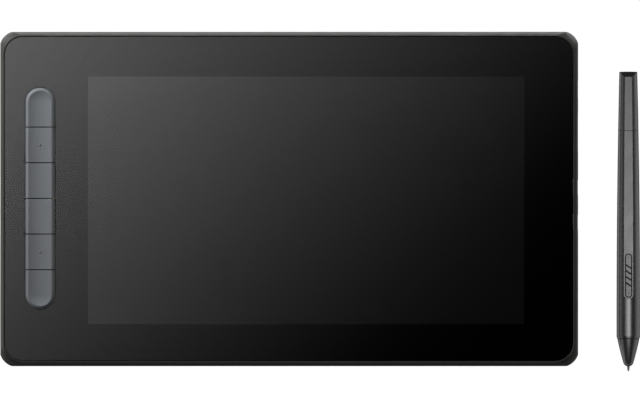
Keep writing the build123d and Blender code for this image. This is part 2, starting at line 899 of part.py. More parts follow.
def usb_c_sockets():
    """Two receptacles on the main board: drawn shells and the tongues inside them."""
    mouth = side_face - socket_setback
    back = mouth - socket_depth
    shells = []
    tongues = []
    for place in socket_places:
        outer = SlotOverall(socket_width, socket_height)
        inner = SlotOverall(socket_width - 2 * socket_wall, socket_height - 2 * socket_wall)
        shell = sideways(outer, back, mouth, place, side_middle)
        shells.append(shell - sideways(inner, back + socket_back, mouth + overrun, place,
                                       side_middle))
        tongue = Rectangle(tongue_width, tongue_thickness)
        tongues.append(sideways(tongue, back + socket_back,
                                back + socket_back + tongue_length, place, side_middle))
    return group(shells), group(tongues)


def button_inner_face():
    return pocket_right - seat_gap


def switch_face():
    """Outer face of the switches behind the edge buttons."""
    return main_board_right - edge_switch_setback


def power_button():
    """Cap, retaining flange behind the wall, and a stem that enters the switch."""
    inner = button_inner_face()
    cap = sideways(SlotOverall(power_button_length, button_height),
                   inner - button_flange_thickness, side_face - button_setback,
                   power_button_place, side_middle)
    flange = sideways(Rectangle(power_button_length + 2 * button_flange, button_height),
                      inner - button_flange_thickness, inner, power_button_place, side_middle)
    stem = sideways(Circle(button_stem_radius), switch_face() - plunger_entry, inner,
                    power_button_place, side_middle)
    return cap + flange + stem


def brightness_rocker():
    """A long cap on two trunnions, with a stem towards each of its switches."""
    inner = button_inner_face()
    x = pocket_right - trunnion_from_wall
    y = rocker_bar_place
    half = button_height / 2
    cap = sideways(SlotOverall(rocker_bar_length, button_height), x, side_face - button_setback,
                   y, side_middle)
    hub = disc(lug_radius, side_middle - half, side_middle + half, x, y)
    trunnion_low = side_middle - half - seat_gap - 2 * trunnion_radius
    trunnion = disc(trunnion_radius, trunnion_low, frame_bottom - seat_gap / 2, x, y)
    rocker = cap + hub + trunnion
    for side in (-1, 1):
        rocker += sideways(Circle(button_stem_radius), switch_face() - plunger_entry, inner,
                           y + side * rocker_bar_reach, side_middle)
    return rocker


def edge_switches(places):
    """Side switches on the main board, each open where a stem enters it."""
    face = switch_face()
    pieces = []
    for y in places:
        body = slab(face - edge_switch_depth, face, y - switch_side / 2, y + switch_side / 2,
                    board_top, board_top + edge_switch_height)
        pieces.append(body - sideways(Circle(switch_bore), face - switch_bore_depth,
                                      face + overrun, y, side_middle))
    return group(pieces)


def power_light_pipe():
    return sideways(Circle(light_pipe_radius), pocket_right - light_pipe_inner_length,
                    side_face - button_setback, power_button_place + light_pipe_from_button,
                    side_middle)


# Feet and screws under the tablet

def case_screws():
    """Countersunk screws from the foot recesses up into the posts of the frame."""
    low = recess_top + thread_clearance
    screws = []
    for x, y in case_screw_places():
        head = Pos(x, y, low) * Cone(case_screw_head_radius, case_screw_radius,
                                     case_screw_head_height,
                                     align=(Align.CENTER, Align.CENTER, Align.MIN))
        screws.append(head + disc(case_screw_radius, low + case_screw_head_height / 2,
                                  low + case_screw_length, x, y))
    return group(screws)


def feet():
    return {name: foot_slot(0, 0, recess_top, x, y) for name, (x, y) in foot_places().items()}


# Pen, drawn upright on its tip with the rocker towards the front

def barrel_circle():
    """Middle and radius of the long arc that shapes the side of the pen."""
    rise = grip_radius - cap_end_radius
    chord = math.hypot(barrel_length, rise)
    arc_radius = (chord ** 2 / 4 + barrel_bulge ** 2) / (2 * barrel_bulge)
    out_r, out_z = barrel_length / chord, rise / chord
    inward = arc_radius - barrel_bulge
    middle_r = (grip_radius + cap_end_radius) / 2 - out_r * inward
    middle_z = (grip_height + pen_length) / 2 - out_z * inward
    return middle_r, middle_z, arc_radius


def pen_radius(z):
    """Radius of the pen at a height on its long arc."""
    middle_r, middle_z, arc_radius = barrel_circle()
    return middle_r + math.sqrt(arc_radius ** 2 - (z - middle_z) ** 2)


def long_arc(start, end, scale, offset):
    """The long arc between two heights, with its distance from the axis scaled and offset."""
    points = [(scale * pen_radius(z) + offset, 0, z) for z in (start, (start + end) / 2, end)]
    return ThreePointArc(*points)


def pen_form():
    """Closed outer form from the nose seam to the crowned end."""
    shoulder_middle = (grip_height + nose_height) / 2
    shoulder = ThreePointArc((nose_radius, 0, nose_height),
                             ((nose_radius + 2 * grip_radius) / 3, 0, shoulder_middle),
                             (grip_radius, 0, grip_height))
    top = pen_length - cap_edge
    side = long_arc(grip_height, top, 1, 0)
    crown = ThreePointArc((pen_radius(top), 0, top),
                          (pen_radius(top) - cap_edge / 3, 0, pen_length - cap_crown / 2),
                          (pen_radius(top) - cap_edge, 0, pen_length - cap_crown / 3))
    close = Polyline((pen_radius(top) - cap_edge, 0, pen_length - cap_crown / 3),
                     (0, 0, pen_length), (0, 0, nose_height), (nose_radius, 0, nose_height))
    return revolve(make_face([shoulder, side, crown, close]), Axis.Z)


def strip_layer(start, end, depth_from, depth_to):
    """Space between two depths under the pen's flat, open in width."""
    flat_share = math.sqrt(1 - strip_chord_share ** 2)
    outer = long_arc(start, end, flat_share, -depth_from)
    inner = long_arc(start, end, flat_share, -depth_to)
    face = make_face([outer, Line(outer @ 1, inner @ 1), inner, Line(inner @ 0, outer @ 0)])
    turned = Rot(0, 0, -90) * face
    return extrude(turned, amount=2 * grip_radius, both=True, dir=(1, 0, 0))


def strip_footprint(start, end, gap, rounded):
    """Width of the strip seen from the front, with a round lower end where it starts."""
    scale = strip_chord_share
    straight = start + scale * pen_radius(start) if rounded else start
    right = long_arc(straight, end, scale, -gap)
    left = mirror(right, about=Plane.YZ)
    top = Line(right @ 1, left @ 1)
    if rounded:
        bottom = ThreePointArc(left @ 0, (0, 0, start + gap), right @ 0)
    else:
        bottom = Line(left @ 0, right @ 0)
    face = make_face([right, top, left, bottom])
    return extrude(face, amount=2 * grip_radius, dir=(0, -1, 0))


def rocker_slot(gap, inner, outer):
    """Obround through the strip for the rocker, between two distances from the axis."""
    outline = SlotOverall(pen_rocker_length + 2 * gap, pen_rocker_width + 2 * gap, rotation=90)
    plane = Plane(origin=(0, -inner, pen_rocker_middle), x_dir=(1, 0, 0), z_dir=(0, -1, 0))
    return extrude(plane * outline, amount=outer - inner)


def pen_pin(radius, length):
    plane = Plane(origin=(-length / 2, -pen_pin_depth, pen_rocker_middle), x_dir=(0, 1, 0),
                  z_dir=(1, 0, 0))
    return extrude(plane * Circle(radius), amount=length)


def facet_start():
    return pen_length - facet_length


def cap_facet():
    """Wedge that slopes the top side of the cap down to its end."""
    depth = math.sqrt(1 - strip_chord_share ** 2) * pen_radius(facet_start())
    far = 2 * grip_radius
    slope = facet_drop / facet_length
    outline = Polyline((0, -depth, facet_start()), (0, -depth + facet_drop, pen_length),
                       (0, -depth + facet_drop + overrun * slope, pen_length + overrun),
                       (0, -far, pen_length + overrun), (0, -far, facet_start()),
                       (0, -depth, facet_start()))
    return extrude(make_face(outline), amount=far, both=True, dir=(1, 0, 0))


def pen_barrel():
    """Tapered barrel, flattened for the strip, with the rocker slot and the pin bore."""
    blank = pen_form() & disc(2 * grip_radius, nose_height + nose_seam, cap_height)
    pocket = strip_footprint(strip_start, cap_height + overrun, 0, True) & strip_layer(
        strip_start, cap_height + overrun, -grip_radius, strip_thickness)
    bore = disc(barrel_bore_radius, nose_height - overrun, cap_height + overrun)
    slot = rocker_slot(pen_rocker_gap, 0, 2 * grip_radius)
    pin = pen_pin(pen_pin_radius + running_clearance / 2, pen_pin_length + running_clearance)
    return blank - [bore, pocket, slot, pin]


def pen_inlay():
    """Light strip in the barrel, round at its lower end, open at the rocker."""
    end = cap_height - strip_end_gap
    layer = strip_layer(strip_start, end, 0, strip_thickness)
    strip = strip_footprint(strip_start, end, strip_side_gap, True) & layer
    return strip - rocker_slot(pen_rocker_gap, 0, 2 * grip_radius)


def cap_collar_radius():
    """Radius of the cap's collar, set back from the strip and the skin."""
    return math.sqrt(1 - strip_chord_share ** 2) * pen_radius(cap_height) - seam_depth


def pen_end_cap():
    """Cap on a spigot and a collar set back in the seam, with the strip's pocket."""
    start = cap_height + cap_seam
    blank = pen_form() & disc(2 * grip_radius, start, pen_length + overrun)
    pocket = strip_footprint(start - overrun, facet_start(), 0, False) & strip_layer(
        start - overrun, facet_start(), -grip_radius, strip_thickness)
    spigot_radius = barrel_bore_radius - spigot_gap
    cap = blank - [pocket, cap_facet()]
    cap += disc(cap_collar_radius(), cap_height, start)
    cap += disc(spigot_radius, start - spigot_length, start + overrun)
    cap -= disc(cap_bore_radius - spigot_wall / 2, start - spigot_length - overrun,
                pen_length - cap_end_wall)
    return cap


def pen_cap_inlay():
    start = cap_height + cap_seam
    end = facet_start() - strip_end_gap
    layer = strip_layer(start, end, 0, strip_thickness)
    return strip_footprint(start, end, strip_side_gap, False) & layer


def pen_nose_cone():
    """Cone with a rounded mouth, hollow round the core, on a collar and a spigot."""
    seam = nose_height
    outer = Spline((nose_radius - nose_step, 0, seam),
                   (cone_shoulder_radius, 0, cone_shoulder_height),
                   (cone_neck_radius, 0, cone_neck_height))
    mouth = ThreePointArc((cone_neck_radius, 0, cone_neck_height),
                          ((cone_neck_radius + cone_mouth_radius) / 2 + cone_wall / 8, 0,
                           (cone_neck_height + cone_mouth_height) / 2 - cone_wall / 8),
                          (cone_mouth_radius, 0, cone_mouth_height))
    close = Polyline((cone_mouth_radius, 0, cone_mouth_height), (0, 0, cone_mouth_height),
                     (0, 0, seam), (nose_radius - nose_step, 0, seam))
    cone = revolve(make_face([outer, mouth, close]), Axis.Z)
    spigot_radius = barrel_bore_radius - spigot_gap
    cone += disc(nose_radius - seam_depth, seam, seam + nose_seam)
    cone += disc(spigot_radius, seam - overrun, chassis_ring_start)
    cavity_low = core_radius + running_clearance
    cavity_high = spigot_radius - spigot_wall
    cavity = Pos(0, 0, cone_cavity_height) * Cone(
        cavity_low, cavity_high, coil_start - cone_cavity_height,
        align=(Align.CENTER, Align.CENTER, Align.MIN))
    cavity += disc(cavity_high, coil_start, chassis_ring_start + overrun)
    nib_bore = disc(nib_bore_radius, cone_mouth_height - overrun, cone_cavity_height + overrun)
    return cone - [cavity, nib_bore]


def pen_nib():
    """Nib with a rounded point and a straight shaft up to its holder."""
    out_share, up_share = nib_point_shares
    point = ThreePointArc((0, 0, 0),
                          (out_share * nib_point_radius, 0, up_share * nib_point_radius),
                          (nib_point_radius, 0, nib_point_radius))
    close = Polyline((nib_point_radius, 0, nib_point_radius), (nib_radius, 0, nib_taper_height),
                     (nib_radius, 0, nib_length), (0, 0, nib_length), (0, 0, 0))
    return revolve(make_face([point, close]), Axis.Z)


def pen_nib_holder():
    """Sleeve round the end of the nib, with a plunger towards the pressure sensor."""
    end = holder_start + holder_length
    holder = disc(holder_radius, holder_start, end)
    holder += disc(holder_plunger_radius, end - overrun / 2, end + holder_plunger_length)
    return holder - disc(nib_radius + nib_fit, holder_start - overrun, nib_length + nib_fit)


def pen_pressure_sensor():
    """Sensor body with a bore that the holder's plunger enters."""
    start = holder_start + holder_length + sensor_gap
    body = disc(sensor_radius, start, start + sensor_length)
    depth = holder_plunger_length + nib_travel
    return body - disc(holder_plunger_radius + 2 * running_clearance, start - overrun,
                       start + depth)


def pen_core_and_coil():
    core = disc(core_radius, core_start, core_start + core_length)
    core -= disc(core_bore_radius, core_start - overrun, core_start + core_length + overrun)
    coil = disc(coil_radius, coil_start, coil_start + coil_length)
    coil -= disc(core_radius, coil_start - overrun, coil_start + coil_length + overrun)
    return core, coil


def chassis_end():
    return cap_height + cap_seam - spigot_length - seat_gap


def pen_board_face():
    """Distance of the board's rocker side from the axis, towards the rocker."""
    return pen_board_thickness - chassis_flat


def pen_chassis():
    """Carrier: a ring round holder and sensor, then a half round under the board."""
    radius = barrel_bore_radius - chassis_gap
    ring = disc(radius, chassis_ring_start, chassis_ring_end)
    ring -= disc(chassis_ring_bore, chassis_ring_start - overrun,
                 holder_start + holder_length + sensor_gap + sensor_length)
    half = Rectangle(2 * radius, 2 * radius, align=(Align.CENTER, Align.MIN))
    section = Circle(radius) & Pos(0, chassis_flat) * half
    rail = extrude(section, amount=chassis_end() - chassis_ring_end)
    return ring + Pos(0, 0, chassis_ring_end) * rail


def pen_circuit_board():
    length = chassis_end() - pen_board_end_gap - pen_board_start
    return Pos(0, pen_board_thickness / 2 - pen_board_face(), pen_board_start + length / 2) * Box(
        pen_board_width, pen_board_thickness, length)


def pen_switch_face():
    return pen_board_face() + pen_switch_height


def toward_rocker(outline, inner, outer, z):
    """A bar of the given section from one distance to another, towards the rocker."""
    plane = Plane(origin=(0, -inner, z), x_dir=(1, 0, 0), z_dir=(0, -1, 0))
    return extrude(plane * outline, amount=outer - inner)


def pen_side_switches():
    face = pen_switch_face()
    switches = []
    for side in (-1, 1):
        z = pen_rocker_middle + side * pen_plunger_reach
        body = toward_rocker(Rectangle(pen_switch_side, pen_switch_side), pen_board_face(),
                             face, z)
        switches.append(body - toward_rocker(Circle(pen_switch_bore),
                                             face - pen_switch_bore_depth, face + overrun, z))
    return group(switches)


def rocker_slashes(crest):
    """Slanted V grooves across the middle of the rocker."""
    lean = math.radians(slash_angle)
    height = slash_depth + overrun
    spread_half = slash_width / 2 * height / slash_depth
    section = make_face(Polyline((0, 0), (spread_half, height), (-spread_half, height), (0, 0)))
    cuts = []
    half = (slash_count - 1) * slash_pitch / 2
    for z in spread(pen_rocker_middle - half, pen_rocker_middle + half, slash_count):
        plane = Plane(origin=(0, slash_depth - crest, z),
                      x_dir=(-math.sin(lean), 0, math.cos(lean)),
                      z_dir=(math.cos(lean), 0, math.sin(lean)))
        cuts.append(extrude(plane * section, amount=2 * pen_rocker_width, both=True))
    return cuts


def rocker_dots(crest):
    """A conical dimple near each end of the rocker."""
    height = rocker_dot_depth + overrun
    dimple = Cone(0, rocker_dot_radius * height / rocker_dot_depth, height,
                  align=(Align.CENTER, Align.CENTER, Align.MIN))
    reach = pen_rocker_length / 2 - rocker_dot_setback
    return [Plane(origin=(0, rocker_dot_depth - crest, pen_rocker_middle + side * reach),
                  x_dir=(1, 0, 0), z_dir=(0, -1, 0)) * dimple for side in (-1, 1)]


def pen_rocker():
    """Obround rocker with a crowned top, slanted grooves, dimples and two plungers."""
    flat_share = math.sqrt(1 - strip_chord_share ** 2)
    half = pen_rocker_length / 2
    low = pen_rocker_middle - half
    high = pen_rocker_middle + half
    flat = flat_share * pen_radius(pen_rocker_middle)
    blank = rocker_slot(0, pen_rocker_bottom, 2 * grip_radius)
    top_low = flat_share * pen_radius(low) + pen_rocker_rise - pen_rocker_crown
    top_high = flat_share * pen_radius(high) + pen_rocker_rise - pen_rocker_crown
    crown = ThreePointArc((0, -top_low, low), (0, -flat - pen_rocker_rise, pen_rocker_middle),
                          (0, -top_high, high))
    far = 2 * grip_radius
    above = Polyline((0, -top_high, high), (0, -far - overrun, high),
                     (0, -far - overrun, low), (0, -top_low, low))
    rocker = blank - extrude(make_face([crown, above]), amount=far, both=True, dir=(1, 0, 0))
    rocker -= rocker_slashes(flat + pen_rocker_rise)
    rocker -= rocker_dots(flat + pen_rocker_rise)
    for side in (-1, 1):
        reach = pen_rocker_middle + side * pen_plunger_reach
        rocker += toward_rocker(Circle(pen_plunger_radius), pen_switch_face() - plunger_entry,
                                pen_rocker_bottom + overrun / 2, reach)
    return rocker - pen_pin(pen_pin_radius + running_clearance, pen_pin_length)


def pen_place():
    """Place of the pen on the desk: on its side, rocker up, resting on the barrel's arc."""
    lean = math.radians(barrel_lean)
    apex_r = (grip_radius + cap_end_radius) / 2 + barrel_bulge * math.cos(lean)
    apex_z = (grip_height + pen_length) / 2 + barrel_bulge * math.sin(lean)
    lift = apex_r * math.cos(lean) + apex_z * math.sin(lean)
    return Pos(pen_x, pen_tip_y, lift) * Rot(-90 - barrel_lean, 0, 0)


def tablet_pieces():
    shells, tongues = usb_c_sockets()
    pieces = {
        "rear_shell": rear_shell(),
        "support_frame": support_frame(),
        "frame_tape": frame_tape(),
        "cover_glass": cover_glass(),
        "border_print": border_print(),
        "optical_bond": optical_bond(),
        "backlight_tray": backlight_tray(),
        "foam_pads": foam_pads(),
        "key_switch_board": key_switch_board(),
        "key_switches": key_switches(),
        "key_board_screws": board_screws(key_board_screw_places()),
        "main_board": main_board(),
        "main_board_screws": board_screws(main_board_screw_places()),
        "board_chips": board_chips(),
        "flex_connectors": flex_connectors(),
        "usb_c_shells": shells,
        "usb_c_tongues": tongues,
        "power_button": power_button(),
        "power_switch": edge_switches([power_button_place]),
        "power_light_pipe": power_light_pipe(),
        "brightness_rocker": brightness_rocker(),
        "brightness_switches": edge_switches([rocker_bar_place - rocker_bar_reach,
                                              rocker_bar_place + rocker_bar_reach]),
        "case_screws": case_screws(),
    }
    pieces.update(display_layers())
    pieces.update(ribbons())
    pieces.update(keys())
    pieces.update(feet())
    return pieces


def pen_pieces():
    core, coil = pen_core_and_coil()
    return {
        "pen_barrel": pen_barrel(),
        "pen_inlay": pen_inlay(),
        "pen_end_cap": pen_end_cap(),
        "pen_cap_inlay": pen_cap_inlay(),
        "pen_nose_cone": pen_nose_cone(),
        "pen_nib": pen_nib(),
        "pen_nib_holder": pen_nib_holder(),
        "pen_pressure_sensor": pen_pressure_sensor(),
        "pen_ferrite_core": core,
        "pen_coil": coil,
        "pen_chassis": pen_chassis(),
        "pen_circuit_board": pen_circuit_board(),
        "pen_side_switches": pen_side_switches(),
        "pen_rocker": pen_rocker(),
        "pen_rocker_pin": pen_pin(pen_pin_radius, pen_pin_length),
    }


os.makedirs("parts", exist_ok=True)
for piece_name, piece_shape in tablet_pieces().items():
    save(piece_name, Pos(tablet_x, tablet_y, 0) * piece_shape)
for piece_name, piece_shape in pen_pieces().items():
    save(piece_name, pen_place() * piece_shape)
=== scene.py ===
import math

import bpy
from mathutils import Matrix, Vector


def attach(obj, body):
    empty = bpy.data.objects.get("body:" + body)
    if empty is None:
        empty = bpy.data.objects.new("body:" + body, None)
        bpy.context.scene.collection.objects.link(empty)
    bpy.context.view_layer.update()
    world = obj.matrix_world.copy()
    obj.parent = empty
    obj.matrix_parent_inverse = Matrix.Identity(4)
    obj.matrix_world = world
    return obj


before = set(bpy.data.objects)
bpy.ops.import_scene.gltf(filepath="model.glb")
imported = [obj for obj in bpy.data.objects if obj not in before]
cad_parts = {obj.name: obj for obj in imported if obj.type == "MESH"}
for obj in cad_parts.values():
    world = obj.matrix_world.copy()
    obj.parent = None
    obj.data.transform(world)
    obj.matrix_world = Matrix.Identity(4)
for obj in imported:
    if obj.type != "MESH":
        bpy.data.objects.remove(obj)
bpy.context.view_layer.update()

# Camera straight above, far enough off for a flat view. The width is what it sees on the glass
SEEN_WIDTH = 0.32655
SEEN_MIDDLE = -0.0001
CAMERA_HEIGHT = 8.0
GLASS_HEIGHT = 0.0099
SENSOR_WIDTH = 36.0

# Light tent. Pairs are sines of the height above the horizon, between which the light changes
RING_STRENGTH = 1.6
RING_INNER = (0.9816, 0.9914)
RING_OUTER = (0.848, 0.927)

# Light tent: the low part, stronger at the left and right
LOW_BOTTOM = (-0.85, -0.5)
LOW_TOP = (-0.15, 0.65)
LOW_BASE = 0.1
LOW_LEFT = 2.5
LOW_RIGHT = 1.8
LOW_SPREAD = 2.0
LOW_SHARE_BELOW = 0.1
LOW_SHARE_ABOVE = 0.05

# Light tent: a low band on the far side and a higher one on the near side
FAR_BOTTOM = (-0.85, -0.5)
FAR_TOP = (-0.3, 0.02)
FAR_STRENGTH = 10.8
FAR_SPREAD = 1.5
NEAR_BOTTOM = (-0.1, 0.2)
NEAR_TOP = (0.3, 0.5)
NEAR_STRENGTH = 2.0
NEAR_SPREAD = 1.0

# Light tent: round patches, each with its direction, the cosines of the angle from it between
# which the light comes up, and its strength
PATCHES = (
    ((-0.25, 0.62, 0.74), (0.86, 0.97), 6.0),
    ((0.69, 0.69, 0.2), (0.88, 0.98), 12.0),
    ((-0.69, 0.69, 0.2), (0.88, 0.98), 7.0),
)

# Soft panel above. Its light grows from PANEL_DARK to PANEL_FULL of y less x, so that the glass
# is black at its near right, and fades over PANEL_FADE of the distance from the middle
PANEL_HEIGHT = 1.0
PANEL_HALF = 0.77
PANEL_STRENGTH = 4.35
PANEL_DARK = -0.184
PANEL_FULL = 0.2574
PANEL_CURVE = 2.3
PANEL_FADE = (0.225, 0.511)

# Strip light over the pen, bright in its middle and faded to its edges, as shares of its half
STRIP_HEIGHT = 0.072
STRIP_MIDDLE = (0.1615, -0.012)
STRIP_HALF = (0.028, 0.11)
STRIP_STRENGTH = 9.7
STRIP_END_FADE = (0.6, 0.85)
STRIP_FAR_FADE = (0.05, 0.8)
STRIP_FAR_SHARE = 0.05

# Softbox low on the left, and the pieces that it doesn't light
SOFTBOX_PLACE = (-0.395, 0.294, 0.165)
SOFTBOX_AIM = (-0.14, 0.0, 0.01)
SOFTBOX_SIZE = 0.2
SOFTBOX_POWER = 27.0
SOFTBOX_KEEPS_OFF = ("cover_glass", "border_print")

# Black flag past the end of the pen, that keeps the far light off its cap
FLAG_LEFT = 0.147
FLAG_RIGHT = 0.168
FLAG_Y = 0.082
FLAG_BOTTOM = -0.03
FLAG_TOP = 0.03

# Floor, which glows like a light table so that it keeps no shadow
FLOOR_SIZE = 16.0
FLOOR_COLOUR = (0.015, 0.015, 0.015)
FLOOR_GLOW = 0.994
WHITE = (1.0, 1.0, 1.0, 1.0)

# Pen on the desk: where its tip lies, and how far its axis leans, in degrees
PEN_PLACE = (0.1573, -0.08665, 0.00664)
PEN_LEAN = 0.6069

# Near-black rings in the pen's two seams, painted shade that stands in for the shadow in the
# seam gaps: their ends, measured from its tip, and their radii
SEAM_SIDES = 96
CAP_SEAM = (0.122705, 0.122895)
CAP_SEAM_SKIN = 0.00509
CAP_SEAM_FLAT = 0.00465
CAP_SEAM_BACK = 0.00425
NOSE_SEAM = (0.016405, 0.016745)
NOSE_SEAM_SKIN = 0.0055
NOSE_SEAM_BACK = 0.0051

# Sockets of a Mix node that mixes colours
MIX_LOW = 6
MIX_HIGH = 7
MIX_RESULT = 2

# Finishes: the span of the noise over which the gloss changes, and its size beside the tone's
GLOSS_SPAN = (0.3, 0.7)
GLOSS_SIZE_SHARE = 1 / 3
NOISE_DETAIL = 3.0


def add(tree, kind, inputs=None, **settings):
    """A node with its settings, and its inputs set or linked by name or number."""
    made = tree.nodes.new(kind)
    for name, value in settings.items():
        setattr(made, name, value)
    for key, value in (inputs or {}).items():
        if isinstance(value, bpy.types.NodeSocket):
            tree.links.new(value, made.inputs[key])
        else:
            made.inputs[key].default_value = value
    return made


def maths(tree, operation, *values):
    """The result of one sum on numbers or sockets."""
    made = add(tree, "ShaderNodeMath", dict(enumerate(values)), operation=operation)
    return made.outputs[0]


def ramped(tree, value, low, high, to_low=0.0, to_high=1.0, smooth=True):
    """A value carried from one range to another and held at its ends."""
    made = add(tree, "ShaderNodeMapRange", {"Value": value, "From Min": low, "From Max": high,
                                            "To Min": to_low, "To Max": to_high},
               interpolation_type="SMOOTHSTEP" if smooth else "LINEAR")
    return made.outputs["Result"]


def sheet(name, corners):
    """A flat sheet with four corners."""
    mesh = bpy.data.meshes.new(name)
    mesh.from_pydata(corners, [], [(0, 1, 2, 3)])
    made = bpy.data.objects.new(name, mesh)
    bpy.context.scene.collection.objects.link(made)
    return made


def square(name, half, height):
    """A level square about the middle of the scene."""
    return sheet(name, [(-half, -half, height), (half, -half, height), (half, half, height),
                        (-half, half, height)])


# Camera and light

def set_camera():
    """A camera that looks straight down and sees the named width at the height of the glass."""
    data = bpy.data.cameras.new("camera")
    data.sensor_fit = "HORIZONTAL"
    data.sensor_width = SENSOR_WIDTH
    data.lens = SENSOR_WIDTH * (CAMERA_HEIGHT - GLASS_HEIGHT) / SEEN_WIDTH
    camera = bpy.data.objects.new("camera", data)
    camera.location = (SEEN_MIDDLE, 0.0, CAMERA_HEIGHT)
    bpy.context.scene.collection.objects.link(camera)
    bpy.context.scene.camera = camera
    bpy.context.scene.view_settings.view_transform = "Standard"
    bpy.context.scene.view_settings.look = "None"


def facing(tree, lean, side, spread):
    """How far a direction leans to one side, +1 or -1, from nothing to 1."""
    return maths(tree, "POWER", maths(tree, "MAXIMUM", maths(tree, "MULTIPLY", lean, side), 0.0),
                 spread)


def banded(tree, light, height, bottom, top, below=0.0, above=0.0):
    """The light between two heights, and the named shares of it below and above them."""
    light = maths(tree, "MULTIPLY", light, ramped(tree, height, *top, 1.0, above))
    return maths(tree, "MULTIPLY", light, ramped(tree, height, *bottom, below, 1.0))


def set_world():
    """Studio light by direction: the ring, the low part, the two bands and the patches."""
    world = bpy.data.worlds.new("studio")
    bpy.context.scene.world = world
    world.use_nodes = True
    tree = world.node_tree
    tree.nodes.clear()
    direction = add(tree, "ShaderNodeTexCoord").outputs["Generated"]
    x, y, z = add(tree, "ShaderNodeSeparateXYZ", {0: direction}).outputs
    ring = banded(tree, RING_STRENGTH, z, RING_OUTER, RING_INNER)
    low = maths(tree, "MULTIPLY_ADD", facing(tree, x, -1.0, LOW_SPREAD), LOW_LEFT, LOW_BASE)
    low = maths(tree, "MULTIPLY_ADD", facing(tree, x, 1.0, LOW_SPREAD), LOW_RIGHT, low)
    low = banded(tree, low, z, LOW_BOTTOM, LOW_TOP, LOW_SHARE_BELOW, LOW_SHARE_ABOVE)
    far = maths(tree, "MULTIPLY", facing(tree, y, 1.0, FAR_SPREAD), FAR_STRENGTH)
    near = maths(tree, "MULTIPLY", facing(tree, y, -1.0, NEAR_SPREAD), NEAR_STRENGTH)
    strength = maths(tree, "ADD", ring, low)
    strength = maths(tree, "ADD", strength, banded(tree, far, z, FAR_BOTTOM, FAR_TOP))
    strength = maths(tree, "ADD", strength, banded(tree, near, z, NEAR_BOTTOM, NEAR_TOP))
    for middle, edge, power in PATCHES:
        toward = add(tree, "ShaderNodeVectorMath", {0: direction, 1: middle},
                     operation="DOT_PRODUCT").outputs["Value"]
        patch = maths(tree, "MULTIPLY", ramped(tree, toward, *edge), power)
        strength = maths(tree, "ADD", strength, patch)
    background = add(tree, "ShaderNodeBackground", {"Color": WHITE, "Strength": strength})
    output = add(tree, "ShaderNodeOutputWorld")
    tree.links.new(background.outputs[0], output.inputs["Surface"])


def make_glow(item, light_at):
    """The sheet gives the light of its formula, lets light through and isn't seen itself."""
    material = bpy.data.materials.new(item.name)
    material.use_nodes = True
    tree = material.node_tree
    tree.nodes.clear()
    place = add(tree, "ShaderNodeTexCoord").outputs["Object"]
    x, y, z = add(tree, "ShaderNodeSeparateXYZ", {0: place}).outputs
    glow = add(tree, "ShaderNodeEmission", {"Strength": light_at(tree, x, y)})
    through = add(tree, "ShaderNodeBsdfTransparent")
    both = add(tree, "ShaderNodeAddShader", {0: glow.outputs[0], 1: through.outputs[0]})
    output = add(tree, "ShaderNodeOutputMaterial")
    tree.links.new(both.outputs[0], output.inputs["Surface"])
    item.data.materials.append(material)
    item.visible_camera = False
    item.visible_shadow = False


def panel_light(tree, x, y):
    """Light that falls off towards the near right, and all round far from the middle."""
    side = ramped(tree, maths(tree, "SUBTRACT", y, x), PANEL_DARK, PANEL_FULL, smooth=False)
    distance = maths(tree, "SQRT", maths(tree, "ADD", maths(tree, "MULTIPLY", x, x),
                                         maths(tree, "MULTIPLY", y, y)))
    light = maths(tree, "MULTIPLY", maths(tree, "POWER", side, PANEL_CURVE),
                  ramped(tree, distance, *PANEL_FADE, 1.0, 0.0))
    return maths(tree, "MULTIPLY", light, PANEL_STRENGTH)


def set_panel():
    """A wide panel, which the glass mirrors."""
    make_glow(square("panel", PANEL_HALF, PANEL_HEIGHT), panel_light)


def strip_light(tree, x, y):
    """Light by the place on a square of half 1, faded to its sides, its ends and the far end."""
    across = ramped(tree, maths(tree, "ABSOLUTE", x), 0.0, 1.0, 1.0, 0.0)
    along = ramped(tree, maths(tree, "ABSOLUTE", y), *STRIP_END_FADE, 1.0, 0.0)
    slope = ramped(tree, y, *STRIP_FAR_FADE, 1.0, STRIP_FAR_SHARE, smooth=False)
    light = maths(tree, "MULTIPLY", maths(tree, "MULTIPLY", across, along), slope)
    return maths(tree, "MULTIPLY", light, STRIP_STRENGTH)


def set_strip_light():
    """A narrow light over the pen that the glass beside it doesn't mirror."""
    strip = square("strip_light", 1.0, 0.0)
    strip.location = (*STRIP_MIDDLE, STRIP_HEIGHT)
    strip.scale = (*STRIP_HALF, 1.0)
    strip.visible_diffuse = False
    make_glow(strip, strip_light)


def set_softbox():
    """Grazing light that shapes the matt pieces and leaves no gleam."""
    data = bpy.data.lights.new("softbox", "AREA")
    data.size = SOFTBOX_SIZE
    data.energy = SOFTBOX_POWER
    softbox = bpy.data.objects.new("softbox", data)
    softbox.location = SOFTBOX_PLACE
    toward = Vector(SOFTBOX_AIM) - Vector(SOFTBOX_PLACE)
    softbox.rotation_euler = toward.to_track_quat("-Z", "Y").to_euler()
    softbox.visible_glossy = False
    bpy.context.scene.collection.objects.link(softbox)
    unlit = bpy.data.collections.new("softbox_keeps_off")
    for name in SOFTBOX_KEEPS_OFF:
        unlit.objects.link(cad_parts[name])
    for entry in unlit.collection_objects:
        entry.light_linking.link_state = "EXCLUDE"
    softbox.light_linking.receiver_collection = unlit


def set_flag():
    """An upright black sheet that only reflections show."""
    flag = sheet("flag", [(FLAG_LEFT, FLAG_Y, FLAG_BOTTOM), (FLAG_RIGHT, FLAG_Y, FLAG_BOTTOM),
                          (FLAG_RIGHT, FLAG_Y, FLAG_TOP), (FLAG_LEFT, FLAG_Y, FLAG_TOP)])
    flag.data.materials.append(grained("flag", (0.01, 0.01, 0.01), roughness=0.9, specular=0.0))
    flag.visible_camera = False
    flag.visible_diffuse = False
    flag.visible_shadow = False


